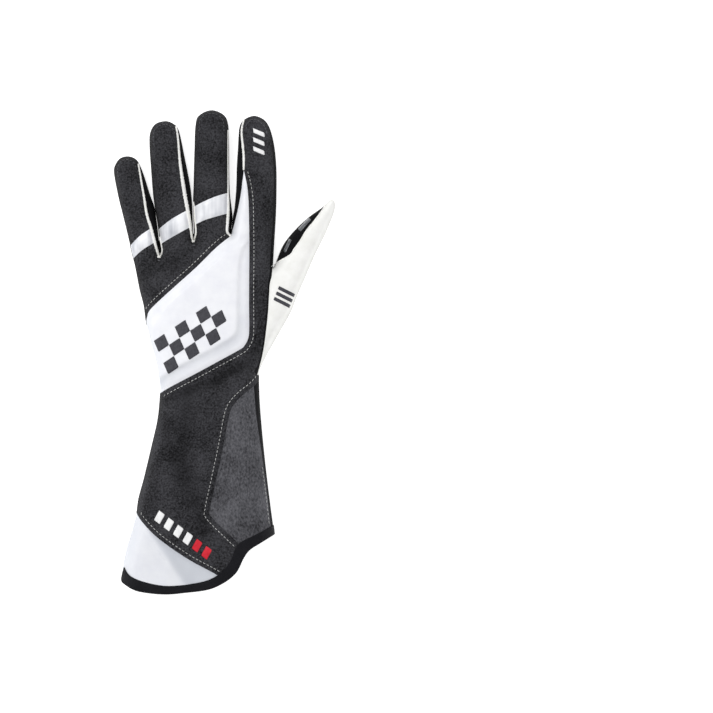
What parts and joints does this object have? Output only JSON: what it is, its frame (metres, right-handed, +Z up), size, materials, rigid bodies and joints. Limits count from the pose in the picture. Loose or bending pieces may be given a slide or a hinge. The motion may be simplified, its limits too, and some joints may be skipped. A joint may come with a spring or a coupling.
{
  "type": "karting glove",
  "caption": "Long-cuffed karting glove for the left hand, lying palm down: a hollow sewn shell of black and white panels with a reflective band, silicone grip pads and a bound cuff.",
  "frame": {"origin": "on the surface that the glove lies on, under the middle of its outline", "axes": "+X from the little finger's side to the thumb's, +Y from the cuff to the fingertips, +Z up out of the back of the hand"},
  "size_m": [0.1502, 0.3336, 0.0316],
  "materials": {
    "black_cloth": "matt suede-like knit, slightly mottled",
    "white_cloth": "smooth white synthetic leather cloth",
    "grey_cloth": "fine ribbed stretch knit",
    "silver_band": "reflective silver tape, satin",
    "binding": "woven binding tape, matt",
    "silicone": "printed grip silicone, satin and speckled",
    "red_silicone": "printed red silicone line, satin"
  },
  "bodies": {
    "root": {"cuff_binding": "binding", "cuff_corner_panel": "white_cloth", "finger_back_middle": "black_cloth", "finger_back_pinky": "black_cloth", "finger_back_ring": "black_cloth", "fourchette_middle_index": "black_cloth", "fourchette_pinky_ring": "black_cloth", "fourchette_ring_middle": "black_cloth", "gauntlet_insert": "grey_cloth", "gauntlet_palm": "black_cloth", "hand_back_panel": "white_cloth", "heel_pad_1": "silicone", "heel_pad_2": "silicone", "heel_pad_3": "silicone", "index_back": "black_cloth", "index_gauntlet_panel": "black_cloth", "joint_outline_index": "red_silicone", "joint_outline_middle": "red_silicone", "joint_outline_pinky": "red_silicone", "joint_outline_ring": "red_silicone", "joint_pad_index": "silicone", "joint_pad_middle": "silicone", "joint_pad_pinky": "silicone", "joint_pad_ring": "silicone", "knuckle_pad_1": "silicone", "knuckle_pad_2": "silicone", "knuckle_pad_3": "silicone", "knuckle_pad_4": "silicone", "knuckle_panel": "black_cloth", "palm_bar_1": "red_silicone", "palm_bar_2": "red_silicone", "palm_bar_3": "red_silicone", "palm_bar_4": "red_silicone", "palm_bar_5": "red_silicone", "palm_hexagon_1": "red_silicone", "palm_hexagon_2": "red_silicone", "palm_panel": "black_cloth", "root_pad_index": "silicone", "root_pad_middle": "silicone", "root_pad_pinky": "silicone", "root_pad_ring": "silicone", "side_gusset": "black_cloth", "stripe_middle": "silver_band", "stripe_pinky": "silver_band", "stripe_ring": "silver_band", "thumb_back": "white_cloth", "thumb_base_pad_1": "silicone", "thumb_base_pad_2": "silicone", "thumb_base_pad_3": "silicone", "thumb_inner_side": "black_cloth", "thumb_pad_1": "silicone", "thumb_pad_2": "silicone", "thumb_stripe": "grey_cloth", "tip_pad_index": "silicone", "tip_pad_middle": "silicone", "tip_pad_pinky": "silicone", "tip_pad_ring": "silicone"}
  },
  "joints": []
}
